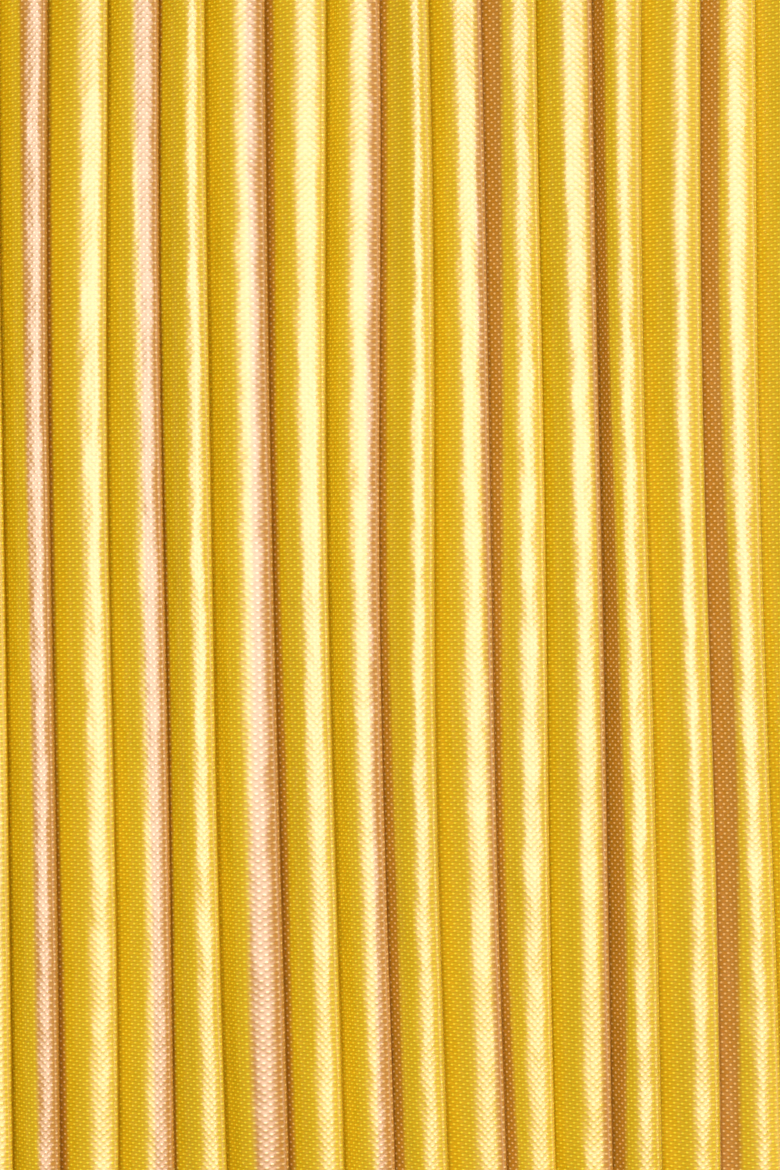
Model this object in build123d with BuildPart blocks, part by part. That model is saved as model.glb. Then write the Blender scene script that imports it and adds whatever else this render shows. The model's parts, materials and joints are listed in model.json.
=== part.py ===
"""Pleated satin sash belt for martial arts, ready tied: a pleated waistband that closes at the back
with a touch fastener, a pleated knot sewn on its front, and two pleated tails that hang from the knot
and end in a fringe. Millimetres. The origin is the middle of the waist opening, +Z is up, and the
knot is at the front, towards -Y."""

import os
from math import acos, cos, degrees, radians, sin, tan

from build123d import *

os.makedirs("parts", exist_ok=True)

# The waist opening: an oval of four tangent arcs, measured at the lining.
waist_half_width = 150.0
waist_half_depth = 115.0
side_radius = 90.0
front_radius = ((waist_half_width - side_radius) ** 2 + waist_half_depth**2 - side_radius**2) / (
    2 * (waist_half_depth - side_radius)
)
# The angle that the front and back arcs reach each side of the middle.
front_reach = degrees(acos((front_radius - waist_half_depth) / (front_radius - side_radius)))
side_turn = 2 * (90 - front_reach)

# The band: lining inside, then a stiffening interlining, then the pleated face.
band_height = 88.0
lining_thickness = 0.5
interlining_thickness = 0.8
band_thickness = 3.5
seam_inset = 3.0
pinched_height = 60.0
pinch_reach = 80.0

# The closure at the back.
underlap_angle = 15.0
jog_radius = 60.0
tape_thickness = 1.2
tape_gap = 0.3
tape_height = 50.0
flap_step = band_thickness + 2 * tape_thickness + tape_gap + 0.1
fold_gap = 0.3
end_binding_width = 8.0
end_binding_thickness = 0.4
flap_radius = front_radius + flap_step
flap_turn = 28.0
tape_turn = 18.0
tape_start = 5.0

# The knot.
knot_half_width = 37.0
knot_half_height = 32.0
knot_half_depth = 22.0
wrap_thickness = 3.5
knot_end_radius = 10.0
band_front = -(waist_half_depth + band_thickness)
knot_y = band_front - knot_half_depth - 0.5

# The tails, with the sway centre inside the knot and the swing axis just under it.
tail_y = band_front - 12.0
neck_x = 14.0
neck_radius = 12.0
neck_half_depth = 5.0
neck_clearance = 0.4
sway_z = -19.0
swing_z = -44.0
sway_out = 20.0
tail_width = 88.0
tail_length = 300.0
fan_length = 90.0
tail_gap = 2.5
tail_slant = tan(radians(1.3))
tail_top = swing_z - neck_half_depth - fold_gap
fan_bottom = tail_top - fan_length
tail_bottom = tail_top - tail_length
face_front = 2.0
face_back = 0.6
interlining_back = 1.0
lining_back = 1.6

# The fringe and the woven heading that carries it.
heading_height = 7.0
heading_half_depth = 1.8
heading_overhang = 1.0
fringe_z = tail_bottom - heading_height + heading_half_depth
fringe_top = fringe_z - heading_half_depth - fold_gap
fringe_length = 60.0
fringe_half_depth = 1.3


def jog_turns():
    """Turns of the two arcs that carry the band out over its own end, and the angle they take."""
    first = front_radius + jog_radius
    second = front_radius + flap_step - jog_radius
    between = 2 * jog_radius
    taken = degrees(acos((first**2 + second**2 - between**2) / (2 * first * second)))
    outward = degrees(acos((first**2 + between**2 - second**2) / (2 * first * between)))
    return outward, outward + taken, taken


def back_station(angle, radius):
    """Point and heading on the back arc, at an angle to the right of the middle."""
    centre = Vector(0, waist_half_depth - front_radius, 0)
    outward = Vector(0, 1, 0).rotate(Axis.Z, -angle)
    return centre + outward * radius, outward.rotate(Axis.Z, 90)


def arc_end(station, arcs, offset=0.0):
    """Point and heading at the end of a chain of tangent arcs, at a distance outside the chain."""
    point, heading = station
    for radius, turn in arcs:
        towards = heading.rotate(Axis.Z, 90 if turn > 0 else -90)
        centre = point + towards * radius
        point = centre - towards.rotate(Axis.Z, turn) * radius
        heading = heading.rotate(Axis.Z, turn)
    return point + heading.rotate(Axis.Z, -90) * offset, heading


def strip(station, arcs, inner, outer):
    """A flat strip between two distances outside a chain of tangent arcs."""
    with BuildSketch() as outline:
        with BuildLine():
            ends = []
            for offset in (inner, outer):
                point, heading = arc_end(station, [], offset)
                ends.append(point)
                for radius, turn in arcs:
                    bend = JernArc(point, heading, radius + (offset if turn > 0 else -offset), turn)
                    point, heading = bend @ 1, bend % 1
                ends.append(point)
            Line(ends[0], ends[2])
            Line(ends[1], ends[3])
        make_face()
    return outline.sketch


def tail_outline(sign):
    """The tail from the front: gathered at the top, then fanning out, then straight, as a flat face."""
    outer_top = neck_x + neck_radius
    inner_fan = tail_gap + fan_length * tail_slant
    inner_low = tail_gap + tail_length * tail_slant
    with BuildSketch() as outline:
        with BuildLine():
            Bezier(
                (sign * outer_top, tail_top),
                (sign * (outer_top + tail_width / 3), tail_top - fan_length / 3),
                (sign * (inner_fan + tail_width), fan_bottom + fan_length / 3),
                (sign * (inner_fan + tail_width), fan_bottom),
            )
            Polyline(
                (sign * (inner_fan + tail_width), fan_bottom),
                (sign * (inner_low + tail_width), tail_bottom),
                (sign * inner_low, tail_bottom),
                (sign * tail_gap, tail_top),
                (sign * outer_top, tail_top),
            )
        make_face()
    return outline.sketch


outward_turn, inward_turn, jog_taken = jog_turns()
flap_angle = underlap_angle + 2.0
jog_angle = flap_angle + jog_taken

waist_start = back_station(underlap_angle, front_radius)
waist_arcs = [
    (front_radius, underlap_angle + front_reach),
    (side_radius, side_turn),
    (front_radius, 2 * front_reach),
    (side_radius, side_turn),
    (front_radius, front_reach - jog_angle),
    (jog_radius, -outward_turn),
    (jog_radius, inward_turn),
]
gap_angle = degrees(fold_gap / flap_radius)
flap_start = back_station(flap_angle - gap_angle, flap_radius)
flap_arcs = [(flap_radius, flap_turn)]
binding_turn = degrees(end_binding_width / front_radius)
lip_turn = degrees(end_binding_thickness / front_radius)

with BuildPart() as pinch:
    with BuildSketch(Plane.XZ.offset(waist_half_depth / 2)):
        with BuildLine():
            low = pinched_height / 2
            high = band_height / 2
            Bezier((-pinch_reach, high), (-pinch_reach / 2, high), (-pinch_reach / 2, low), (0, low))
            Bezier((0, low), (pinch_reach / 2, low), (pinch_reach / 2, high), (pinch_reach, high))
            Polyline((pinch_reach, high), (pinch_reach, 2 * high), (-pinch_reach, 2 * high), (-pinch_reach, high))
        make_face()
    extrude(amount=waist_half_depth)
    mirror(about=Plane.XY)

sections = {
    "waistband": (waist_start, waist_arcs),
    "flap": (flap_start, flap_arcs),
}
layers = {}
for section, (station, arcs) in sections.items():
    with BuildPart() as interlining:
        inner_height = band_height - 2 * seam_inset
        with BuildSketch(Plane.XY.offset(-inner_height / 2)):
            add(strip(station, arcs, lining_thickness, lining_thickness + interlining_thickness))
        extrude(amount=inner_height)
        if section == "waistband":
            with Locations((0, 0, -seam_inset)):
                add(pinch.part, mode=Mode.SUBTRACT)
            with Locations((0, 0, seam_inset)):
                add(pinch.part, mode=Mode.SUBTRACT)
    with BuildPart() as lining:
        with BuildSketch(Plane.XY.offset(-band_height / 2)):
            add(strip(station, arcs, 0, lining_thickness))
        extrude(amount=band_height)
        if section == "waistband":
            add(pinch.part, mode=Mode.SUBTRACT)
    with BuildPart() as face:
        with BuildSketch(Plane.XY.offset(-band_height / 2)):
            add(strip(station, arcs, lining_thickness, band_thickness))
        extrude(amount=band_height)
        if section == "waistband":
            add(pinch.part, mode=Mode.SUBTRACT)
        add(interlining.part, mode=Mode.SUBTRACT)
    for layer, built in (("lining", lining), ("interlining", interlining), ("face", face)):
        layers[section, layer] = built
        built.part.label = f"{section}_{layer}"
        export_step(built.part, f"parts/{section}_{layer}.step")

# The turned-in strips that close the two cut ends of the band.
underlap_outer = back_station(underlap_angle + lip_turn, front_radius)
with BuildPart() as underlap_binding:
    with BuildSketch(Plane.XY.offset(-band_height / 2)):
        add(
            strip(
                underlap_outer,
                [(front_radius, binding_turn + lip_turn)],
                -end_binding_thickness,
                band_thickness + end_binding_thickness,
            )
        )
    extrude(amount=band_height)
    for layer in ("lining", "interlining", "face"):
        add(layers["waistband", layer].part, mode=Mode.SUBTRACT)
underlap_binding.part.label = "underlap_end_binding"
export_step(underlap_binding.part, "parts/underlap_end_binding.step")

flap_end_angle = flap_angle - gap_angle - flap_turn
flap_outer = back_station(flap_end_angle + binding_turn, flap_radius)
with BuildPart() as flap_binding:
    with BuildSketch(Plane.XY.offset(-band_height / 2)):
        add(
            strip(
                flap_outer,
                [(flap_radius, binding_turn + lip_turn)],
                -end_binding_thickness,
                band_thickness + end_binding_thickness,
            )
        )
    extrude(amount=band_height)
    for layer in ("lining", "interlining", "face"):
        add(layers["flap", layer].part, mode=Mode.SUBTRACT)
flap_binding.part.label = "flap_end_binding"
export_step(flap_binding.part, "parts/flap_end_binding.step")

# The touch fastener: loops on the outside of the inner end, hooks on the inside of the flap.
loop_start = back_station(underlap_angle - tape_start, front_radius)
with BuildPart() as loop_tape:
    with BuildSketch(Plane.XY.offset(-tape_height / 2)):
        add(
            strip(loop_start, [(front_radius, tape_turn)], band_thickness, band_thickness + tape_thickness)
        )
    extrude(amount=tape_height)
loop_tape.part.label = "loop_tape"
export_step(loop_tape.part, "parts/loop_tape.step")

hook_start = back_station(underlap_angle - tape_start, flap_radius)
with BuildPart() as hook_tape:
    with BuildSketch(Plane.XY.offset(-tape_height / 2)):
        add(strip(hook_start, [(flap_radius, tape_turn)], -tape_thickness, 0))
    extrude(amount=tape_height)
hook_tape.part.label = "hook_tape"
export_step(hook_tape.part, "parts/hook_tape.step")

# The knot: a padded core, the pleated cloth wrapped over it, and a patch that it is sewn down on.
with BuildPart() as neck_room:
    with BuildSketch(Plane.XZ.offset(-tail_y - neck_half_depth - 2 * neck_clearance)):
        with Locations((neck_x, sway_z)):
            Circle(neck_radius + neck_clearance)
        with BuildLine():
            turn = radians(sway_out)
            room = neck_radius + neck_clearance
            bottom = -knot_half_height - 2
            inner_x = neck_x - neck_radius - 2 * neck_clearance
            outer_x = neck_x + room / cos(turn) + (sway_z - bottom) * tan(turn)
            Polyline(
                (inner_x, sway_z),
                (neck_x, sway_z),
                (neck_x + room * cos(turn), sway_z + room * sin(turn)),
                (outer_x, bottom),
                (inner_x, bottom),
                close=True,
            )
        make_face()
    extrude(amount=2 * neck_half_depth + 4 * neck_clearance)
    mirror(about=Plane.YZ)

with BuildPart() as knot_core:
    core_half_width = knot_half_width - 2 * wrap_thickness
    with BuildSketch(Plane.YZ.offset(-core_half_width)):
        with Locations((knot_y, 0)):
            Ellipse(knot_half_depth - wrap_thickness, knot_half_height - wrap_thickness)
    extrude(amount=2 * core_half_width)
    whole_core = knot_core.part
    add(neck_room.part, mode=Mode.SUBTRACT)
knot_core.part.label = "knot_core"
export_step(knot_core.part, "parts/knot_core.step")

with BuildPart() as knot_wrap:
    with BuildSketch(Plane.YZ.offset(-knot_half_width)):
        with Locations((knot_y, 0)):
            Ellipse(knot_half_depth, knot_half_height)
    extrude(amount=2 * knot_half_width)
    fillet(knot_wrap.edges().group_by(Axis.X)[0] + knot_wrap.edges().group_by(Axis.X)[-1], knot_end_radius)
    whole_knot = knot_wrap.part
    add(whole_core, mode=Mode.SUBTRACT)
    add(neck_room.part, mode=Mode.SUBTRACT)
knot_wrap.part.label = "knot_wrap"
export_step(knot_wrap.part, "parts/knot_wrap.step")

with BuildPart() as knot_patch:
    patch_half = 20.0
    with BuildSketch(Plane.XZ.offset(-band_front - 2.0)):
        RectangleRounded(2 * patch_half, 2 * patch_half, 5)
    extrude(amount=6.0)
    add(whole_knot, mode=Mode.SUBTRACT)
    for layer in ("lining", "interlining", "face"):
        add(layers["waistband", layer].part, mode=Mode.SUBTRACT)
    with BuildSketch(Plane.XY.offset(-band_height)):
        add(strip(waist_start, waist_arcs, -10, band_thickness))
    extrude(amount=2 * band_height, mode=Mode.SUBTRACT)
knot_patch.part.label = "knot_patch"
export_step(knot_patch.part, "parts/knot_patch.step")

with BuildPart() as knot_bar_tacks:
    tack_length, tack_height, tack_depth = 10.0, 1.6, 0.8
    with BuildSketch(Plane.XZ.offset(waist_half_depth / 2)):
        with GridLocations(2 * patch_half, 2 * patch_half - 4, 2, 2):
            SlotOverall(tack_length, tack_height)
    extrude(amount=waist_half_depth)
    with BuildSketch(Plane.XY.offset(-patch_half)):
        add(strip(waist_start, waist_arcs, -tack_depth, 0))
    extrude(amount=2 * patch_half, mode=Mode.INTERSECT)
knot_bar_tacks.part.label = "knot_bar_tacks"
export_step(knot_bar_tacks.part, "parts/knot_bar_tacks.step")

for side, sign in (("right", 1), ("left", -1)):
    # The gathered neck: a round top that turns in the knot, and a rounded lower end on the swing axis.
    with BuildPart() as neck:
        with BuildSketch(Plane.XZ.offset(-tail_y - neck_half_depth)):
            with Locations((sign * neck_x, sway_z)):
                Circle(neck_radius)
            with Locations((sign * neck_x, (sway_z + swing_z) / 2)):
                Rectangle(2 * neck_radius, sway_z - swing_z)
        extrude(amount=2 * neck_half_depth)
        with BuildSketch(Plane.YZ.offset(sign * neck_x - neck_radius)):
            with Locations((tail_y, swing_z)):
                Circle(neck_half_depth)
        extrude(amount=2 * neck_radius)
    neck.part.label = f"{side}_tail_neck"
    export_step(neck.part, f"parts/{side}_tail_neck.step")

    # Each layer's thickness from the side, as distances behind the middle of the tail.
    thicknesses = {
        "face": [(-5, tail_top), (-face_front, fan_bottom), (-face_front, tail_bottom), (face_back, tail_bottom)]
        + [(face_back, fan_bottom), (2, tail_top)],
        "interlining": [(face_back, fan_bottom), (face_back, tail_bottom), (interlining_back, tail_bottom)]
        + [(interlining_back, fan_bottom)],
        "lining": [(2, tail_top), (face_back, fan_bottom), (interlining_back, fan_bottom)]
        + [(interlining_back, tail_bottom), (lining_back, tail_bottom), (lining_back, fan_bottom), (5, tail_top)],
    }
    for layer, profile in thicknesses.items():
        with BuildPart() as cloth:
            with BuildSketch(Plane.XZ.offset(-tail_y - neck_half_depth)):
                add(tail_outline(sign))
            extrude(amount=2 * neck_half_depth)
            with BuildSketch(Plane.YZ.offset(-2 * tail_width)):
                with BuildLine():
                    Polyline(*[(tail_y + behind, z) for behind, z in profile], close=True)
                make_face()
            extrude(amount=4 * tail_width, mode=Mode.INTERSECT)
        cloth.part.label = f"{side}_tail_{layer}"
        export_step(cloth.part, f"parts/{side}_tail_{layer}.step")

    # The woven heading along the bottom of the tail, rounded on the axis that the fringe swings on.
    heading_x = sign * (tail_gap + tail_length * tail_slant + tail_width / 2)
    with BuildPart() as heading:
        with BuildSketch(Plane.YZ.offset(heading_x - tail_width / 2 - heading_overhang)):
            with Locations((tail_y, (tail_bottom + fringe_z) / 2)):
                Rectangle(2 * heading_half_depth, tail_bottom - fringe_z)
            with Locations((tail_y, fringe_z)):
                Circle(heading_half_depth)
        extrude(amount=tail_width + 2 * heading_overhang)
    heading.part.label = f"{side}_fringe_heading"
    export_step(heading.part, f"parts/{side}_fringe_heading.step")

    with BuildPart() as fringe:
        with BuildSketch(Plane.XZ.offset(-tail_y - fringe_half_depth)):
            with Locations((heading_x, fringe_top - fringe_length / 2)):
                Rectangle(tail_width - 2, fringe_length)
        extrude(amount=2 * fringe_half_depth)
    fringe.part.label = f"{side}_fringe"
    export_step(fringe.part, f"parts/{side}_fringe.step")

flap_axis, _ = arc_end(waist_start, waist_arcs, band_thickness)
print("flap hinge", flap_axis, "band length", sum(r * radians(abs(t)) for r, t in waist_arcs))
print("sway centres", (neck_x, tail_y, sway_z), "swing axis z", swing_z, "fringe axis z", fringe_z)
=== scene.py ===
"""Pleated satin sash belt, ready tied, as a martial arts performer wears it.

Every cloth piece is a grid of points worked out from two parameters: how far across the cloth, and how
far along it. Across, the cloth follows the cross-section of a row of knife pleats. Along, it follows the
oval of the waist, the fan and fall of a tail, or the turn round the knot. Lengths are written in
millimetres and turned into metres when a mesh is made. The cloth's own map, called "cloth", holds
millimetres across and along the flat cloth, so that weave and stripes follow every fold."""

import json
from math import acos, cos, degrees, pi, radians, sin, tan

import bpy
import numpy as np
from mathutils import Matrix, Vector


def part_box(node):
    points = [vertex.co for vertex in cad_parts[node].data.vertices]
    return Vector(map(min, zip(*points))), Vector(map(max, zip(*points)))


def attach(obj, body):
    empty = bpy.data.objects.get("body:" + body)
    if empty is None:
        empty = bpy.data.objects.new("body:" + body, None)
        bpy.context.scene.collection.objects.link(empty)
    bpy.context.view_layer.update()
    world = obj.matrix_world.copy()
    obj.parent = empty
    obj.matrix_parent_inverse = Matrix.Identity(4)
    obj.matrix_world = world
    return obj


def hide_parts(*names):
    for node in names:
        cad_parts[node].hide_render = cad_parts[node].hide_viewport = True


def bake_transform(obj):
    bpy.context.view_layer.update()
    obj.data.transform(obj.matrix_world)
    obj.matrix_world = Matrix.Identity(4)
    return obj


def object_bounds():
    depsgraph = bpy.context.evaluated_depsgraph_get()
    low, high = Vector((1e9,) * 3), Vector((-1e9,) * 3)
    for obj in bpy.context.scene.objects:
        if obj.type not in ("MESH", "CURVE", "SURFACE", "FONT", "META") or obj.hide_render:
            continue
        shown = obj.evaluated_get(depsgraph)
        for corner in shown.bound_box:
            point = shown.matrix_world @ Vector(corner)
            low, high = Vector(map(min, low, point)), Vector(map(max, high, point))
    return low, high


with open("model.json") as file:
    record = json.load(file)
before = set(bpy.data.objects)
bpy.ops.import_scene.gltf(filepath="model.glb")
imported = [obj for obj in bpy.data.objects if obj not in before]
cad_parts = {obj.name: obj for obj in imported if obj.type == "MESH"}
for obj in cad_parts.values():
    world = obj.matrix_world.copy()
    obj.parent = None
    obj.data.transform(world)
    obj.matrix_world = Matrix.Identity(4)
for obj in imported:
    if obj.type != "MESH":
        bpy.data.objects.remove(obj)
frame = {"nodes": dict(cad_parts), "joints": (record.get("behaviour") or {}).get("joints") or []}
cad_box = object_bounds()

bl_info = {
    "name": "Pleated Sash Belt",
    "version": (1, 0, 0),
    "blender": (4, 5, 0),
    "location": "3D View > Sidebar > Sash Belt",
    "description": "Builds a ready-tied pleated satin sash: waistband, flap, knot, tails and fringe",
    "category": "Add Mesh",
}

MM = 0.001
JOINTS = {joint["name"]: joint for joint in frame["joints"]}


def joint_place(name):
    """Where a joint's axis passes, in millimetres."""
    return np.array(JOINTS[name]["pos_m"], float) / MM


def node_box(name):
    """Lowest and highest corners of a CAD node, in millimetres."""
    low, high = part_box(name)
    return np.array(low) / MM, np.array(high) / MM


def node_middle(name):
    """The middle of a CAD node's box, and half its size."""
    low, high = node_box(name)
    return (low + high) / 2, (high - low) / 2


# ---- Sizes shared by several pieces, in millimetres ----

WAIST_HALF_WIDTH = 150.0
WAIST_HALF_DEPTH = 115.0
SIDE_RADIUS = 90.0
FRONT_RADIUS = ((WAIST_HALF_WIDTH - SIDE_RADIUS) ** 2 + WAIST_HALF_DEPTH**2 - SIDE_RADIUS**2) / (
    2 * (WAIST_HALF_DEPTH - SIDE_RADIUS)
)
FRONT_REACH = degrees(acos((FRONT_RADIUS - WAIST_HALF_DEPTH) / (FRONT_RADIUS - SIDE_RADIUS)))
UNDERLAP_ANGLE = 15.0
FLAP_ANGLE = 17.0
FLAP_TURN = 28.0
FLAP_STEP = 6.3
JOG_RADIUS = 60.0
BAND_HEIGHT = 88.0
BAND_THICKNESS = 3.5
PINCHED_HEIGHT = 60.0
PINCH_REACH = 80.0
CLOTH_BASE = 1.45
PLEAT_LIFT = 2.0
SHELL = 0.16
LINING_SHELL = 0.25

TAPE_TURN = 18.0
TAPE_ANGLE = 10.0
TAPE_HEIGHT = 50.0
TAPE_THICKNESS = 1.2

HINGE_REACH = 14.0
BEND_REACH = 10.0
SEAM_ROW = 0.4

TAIL_Y = joint_place("right_tail_swing")[1]
SWAY_Z = joint_place("right_tail_sway")[2]
NECK_X = joint_place("right_tail_sway")[0]
FRINGE_Z = joint_place("right_fringe_swing")[2]
TAIL_TOP = node_box("right_tail_face")[1][2]
TAIL_BOTTOM = node_box("right_tail_face")[0][2]
FAN_LENGTH = 90.0
TAIL_WIDTH = 88.0
TAIL_GAP = 2.5
TAIL_SLANT = tan(radians(1.3))
HEM_RISE = 1.5

WRAP_LENGTH = 160.0
WRAP_LIFT = 1.7
# Where the knot's mouth opens, as angles forward from straight down, and the share of the wrap inside it
MOUTH_FRONT = -12.0
MOUTH_BACK = -49.0
MOUTH_MIDDLE = -30.0
MOUTH_SHARE = 0.09
MOUTH_DEPTH = 14.0

HOOK_SPACING = 1.7
HOOK_ROWS = 1.6
FRINGE_SPACES = 60
CHEVRON = 3.0
FLOOR_RADIUS = 9000.0
FLOOR_DROP = 40.0


# ---- Settings ----


def number(name, description, default, low, high, **more):
    """A number in the sidebar, with its limits."""
    return bpy.props.FloatProperty(name=name, description=description, default=default, min=low, max=high, **more)


def colour(name, description, default):
    """A colour in the sidebar."""
    return bpy.props.FloatVectorProperty(name=name, description=description, subtype="COLOR", default=default)


class BELT_PG_pleats(bpy.types.PropertyGroup):
    """How the satin is pleated."""

    count: bpy.props.IntProperty(
        name="Pleats", description="Pleats side by side across the sash", default=22, min=6, max=40
    )
    repeat: number("Weave repeat", "Distance between floats in one row of the satin, in millimetres", 0.566, 0.2, 2.0)
    unevenness: number(
        "Unevenness", "How much the pleats differ in width and wander along the sash", 1.0, 0.0, 2.0, subtype="FACTOR"
    )


class BELT_PG_colours(bpy.types.PropertyGroup):
    """The colours of the cloth and its trimmings."""

    yellow: colour("Yellow stripe", "Ground colour of the satin", (0.82, 0.475, 0.001))
    copper: colour("Copper stripe", "Stripe colour of the satin", (0.60, 0.235, 0.008))
    lining: colour("Lining", "Colour of the plain lining", (0.70, 0.36, 0.015))
    trimming: colour("Trimming", "Colour of the fringe and its braid", (0.82, 0.47, 0.012))
    thread: colour("Thread", "Colour of the sewing thread", (0.70, 0.40, 0.03))
    tape: colour("Touch tape", "Colour of the hook and loop tapes", (0.72, 0.40, 0.02))


class BELT_PG_stage(bpy.types.PropertyGroup):
    """The camera and the lights."""

    lens: number("Lens", "Focal length of the close-up, in millimetres", 100.0, 20.0, 300.0)
    close_up_height: number(
        "Close-up height", "Height of cloth in the close-up", 0.086, 0.02, 1.0, unit="LENGTH", subtype="DISTANCE"
    )
    key_power: number("Key light", "Power of the large soft light at the front", 17.6, 0.0, 1000.0, unit="POWER")


# ---- Mesh making ----


def merged(*parts):
    """Places whose coordinates are the given arrays, spread to the shape that they share."""
    return np.stack(np.broadcast_arrays(*parts), -1)


def stood(flat, z):
    """Places on the ground plan, stood at heights z."""
    return np.concatenate([flat, np.broadcast_to(np.asarray(z, float)[..., None], (*flat.shape[:-1], 1))], -1)


def turned(faces):
    """The same faces, looking the other way."""
    return [(block[:, ::-1], places[:, ::-1]) for block, places in faces]


def grid_quads(rows, columns, ring=False):
    """Corner indices of a grid's quads, twice: into the points, whose columns come round again in a ring,
    and into the map, which has one column more there."""
    row = np.arange(rows - 1)[:, None]
    column = np.arange(columns if ring else columns - 1)[None, :]
    corners = [(0, 0), (0, 1), (1, 1), (1, 0)]
    points = [(row + r) * columns + (column + c) % columns for r, c in corners]
    mapped = [(row + r) * (columns + ring) + (column + c) for r, c in corners]
    return np.stack(points, -1).reshape(-1, 4), np.stack(mapped, -1).reshape(-1, 4)


def make_object(name, points, faces, cloth, material, smooth_blocks=1):
    """An object from points in millimetres. faces is a list of pairs of index arrays, into the points
    and into the map's places. The first blocks of faces are smooth, and rims and caps after them flat."""
    mesh = bpy.data.meshes.new(name)
    polygons = [corner for block, _ in faces for corner in block.tolist()]
    mesh.from_pydata((points.reshape(-1, 3) * MM).tolist(), [], polygons)
    layer = mesh.uv_layers.new(name="cloth")
    places = np.concatenate([cloth.reshape(-1, 2)[mapped.ravel()] for _, mapped in faces])
    layer.uv.foreach_set("vector", places.astype(np.float32).ravel())
    rounded = sum(len(block) for block, _ in faces[:smooth_blocks])
    mesh.polygons.foreach_set("use_smooth", np.arange(len(polygons)) < rounded)
    mesh.materials.append(material)
    mesh.update()
    return place_object(name, mesh)


def place_object(name, data, location=(0, 0, 0)):
    """A new object in the scene, for a mesh, a light or a camera."""
    made = bpy.data.objects.new(name, data)
    made.location = location
    bpy.context.scene.collection.objects.link(made)
    return made


def surface_normals(points):
    """Unit normals of a grid of points: the step along the columns crossed with the step along the rows."""
    normal = np.cross(np.gradient(points, axis=1), np.gradient(points, axis=0))
    return normal / np.maximum(np.linalg.norm(normal, axis=-1, keepdims=True), 1e-12)


def cloth_shell(name, points, cloth, material, thickness=SHELL, mirrored=False):
    """A sheet of cloth: the given grid, a second one a thickness behind it, and four closed edges. A
    mirrored grid has its columns taken the other way, so that its front still faces out."""
    if mirrored:
        points, cloth = points[:, ::-1], cloth[:, ::-1]
    rows, columns = points.shape[:2]
    behind = points - surface_normals(points) * thickness
    count = rows * columns
    quads, mapped = grid_quads(rows, columns)
    index = np.arange(count).reshape(rows, columns)
    faces = [(quads, mapped), (quads[:, ::-1] + count, mapped[:, ::-1])]
    edges = [(index[0, 1:], index[0, :-1]), (index[-1, :-1], index[-1, 1:])]
    edges += [(index[:-1, 0], index[1:, 0]), (index[1:, -1], index[:-1, -1])]
    for first, second in edges:
        rim = np.stack([first, second, second + count, first + count], -1)
        faces.append((rim, rim % count))
    return make_object(name, np.concatenate([points.reshape(-1, 3), behind.reshape(-1, 3)]), faces, cloth, material, 2)


def closed_tubes(name, centres, radii, sides, material, across=(1.0, 0, 0), up=(0, 1.0, 0)):
    """Many closed tubes at once: rings round each row of centres, with a flat cap at each end. centres
    has the tubes, then their rings; across and up are the two directions of each ring."""
    tubes, rings = centres.shape[:2]
    across, up = np.asarray(across), np.asarray(up)
    angle = np.arange(sides) * 2 * pi / sides
    spread = across[..., None, :] * np.cos(angle)[:, None] + up[..., None, :] * np.sin(angle)[:, None]
    points = centres[:, :, None, :] + spread * radii[..., None, None]
    quads, mapped = grid_quads(rings, sides, ring=True)
    tube = np.arange(tubes)[:, None, None] * rings
    faces = [((quads + tube * sides).reshape(-1, 4), (mapped + tube * (sides + 1)).reshape(-1, 4))]
    ring = np.arange(sides)[None, :]
    for cap, place in ((ring[:, ::-1], 0), (ring, rings - 1)):
        faces.append((cap + (place + tube[..., 0]) * sides, cap + (place + tube[..., 0]) * (sides + 1)))
    girth = np.linspace(0, 1, sides + 1) * 2 * pi * radii.max()
    steps = np.linalg.norm(np.diff(centres, axis=1), axis=-1)
    along = np.concatenate([np.zeros((tubes, 1)), np.cumsum(steps, axis=1)], axis=1)
    cloth = merged(girth[None, None, :], along[:, :, None])
    forward = np.cross(across.reshape(-1, 3)[0], up.reshape(-1, 3)[0])
    if np.dot(forward, centres[0, -1] - centres[0, 0]) < 0:
        faces = turned(faces)
    return make_object(name, points, faces, cloth, material)


def closed_rings(name, points, girth, along, material):
    """A solid from a stack of rings along X, closed by a flat face at each end."""
    rows, columns = points.shape[:2]
    ring = np.arange(columns)[None, :]
    last = (rows - 1) * columns
    faces = [grid_quads(rows, columns, ring=True), (ring[:, ::-1], ring[:, ::-1]), (ring + last, ring)]
    return make_object(name, points, faces, merged(girth[None, :], along), material)


def smooth_through(knots, places):
    """A smooth curve through knots, at places counted in knots: the Catmull-Rom cubic, which leaves each
    knot parallel to the line between its two neighbours."""
    knots = np.asarray(knots, float)
    first = np.clip(np.floor(places).astype(int), 1, len(knots) - 3)
    t = (places - first)[:, None]
    a, b, c, d = (knots[first + step] for step in (-1, 0, 1, 2))
    return 0.5 * (2 * b + (c - a) * t + (2 * a - 5 * b + 4 * c - d) * t**2 + (3 * b - a - 3 * c + d) * t**3)


def smooth_step(low, high, value):
    """0 below low, 1 above high, and a smooth cubic between."""
    t = np.clip((value - low) / (high - low), 0, 1)
    return t * t * (3 - 2 * t)


def cubic(t, first, second, third, last):
    """The Bezier cubic through four numbers, at t."""
    s = 1 - t
    return first * s**3 + second * 3 * t * s**2 + third * 3 * t**2 * s + last * t**3


# ---- Knife pleats ----

# One pleat, as shares of its width and of its lift: out from under its neighbour, up the rise, over the
# crest, round the fold, back underneath, round the hidden fold and out again.
PLEAT_KNOTS = np.array(
    [(0.00, 0.13), (0.16, 0.37), (0.32, 0.64), (0.45, 0.85), (0.56, 0.955), (0.70, 0.998), (0.84, 0.99), (0.955, 0.94)]
    + [(1.015, 0.85), (1.00, 0.76), (0.88, 0.72), (0.66, 0.52), (0.46, 0.24), (0.375, 0.10), (0.43, 0.015)]
    + [(0.70, 0.02), (0.90, 0.07)]
)
FOLD_SHARE = 8 / len(PLEAT_KNOTS)

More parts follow.
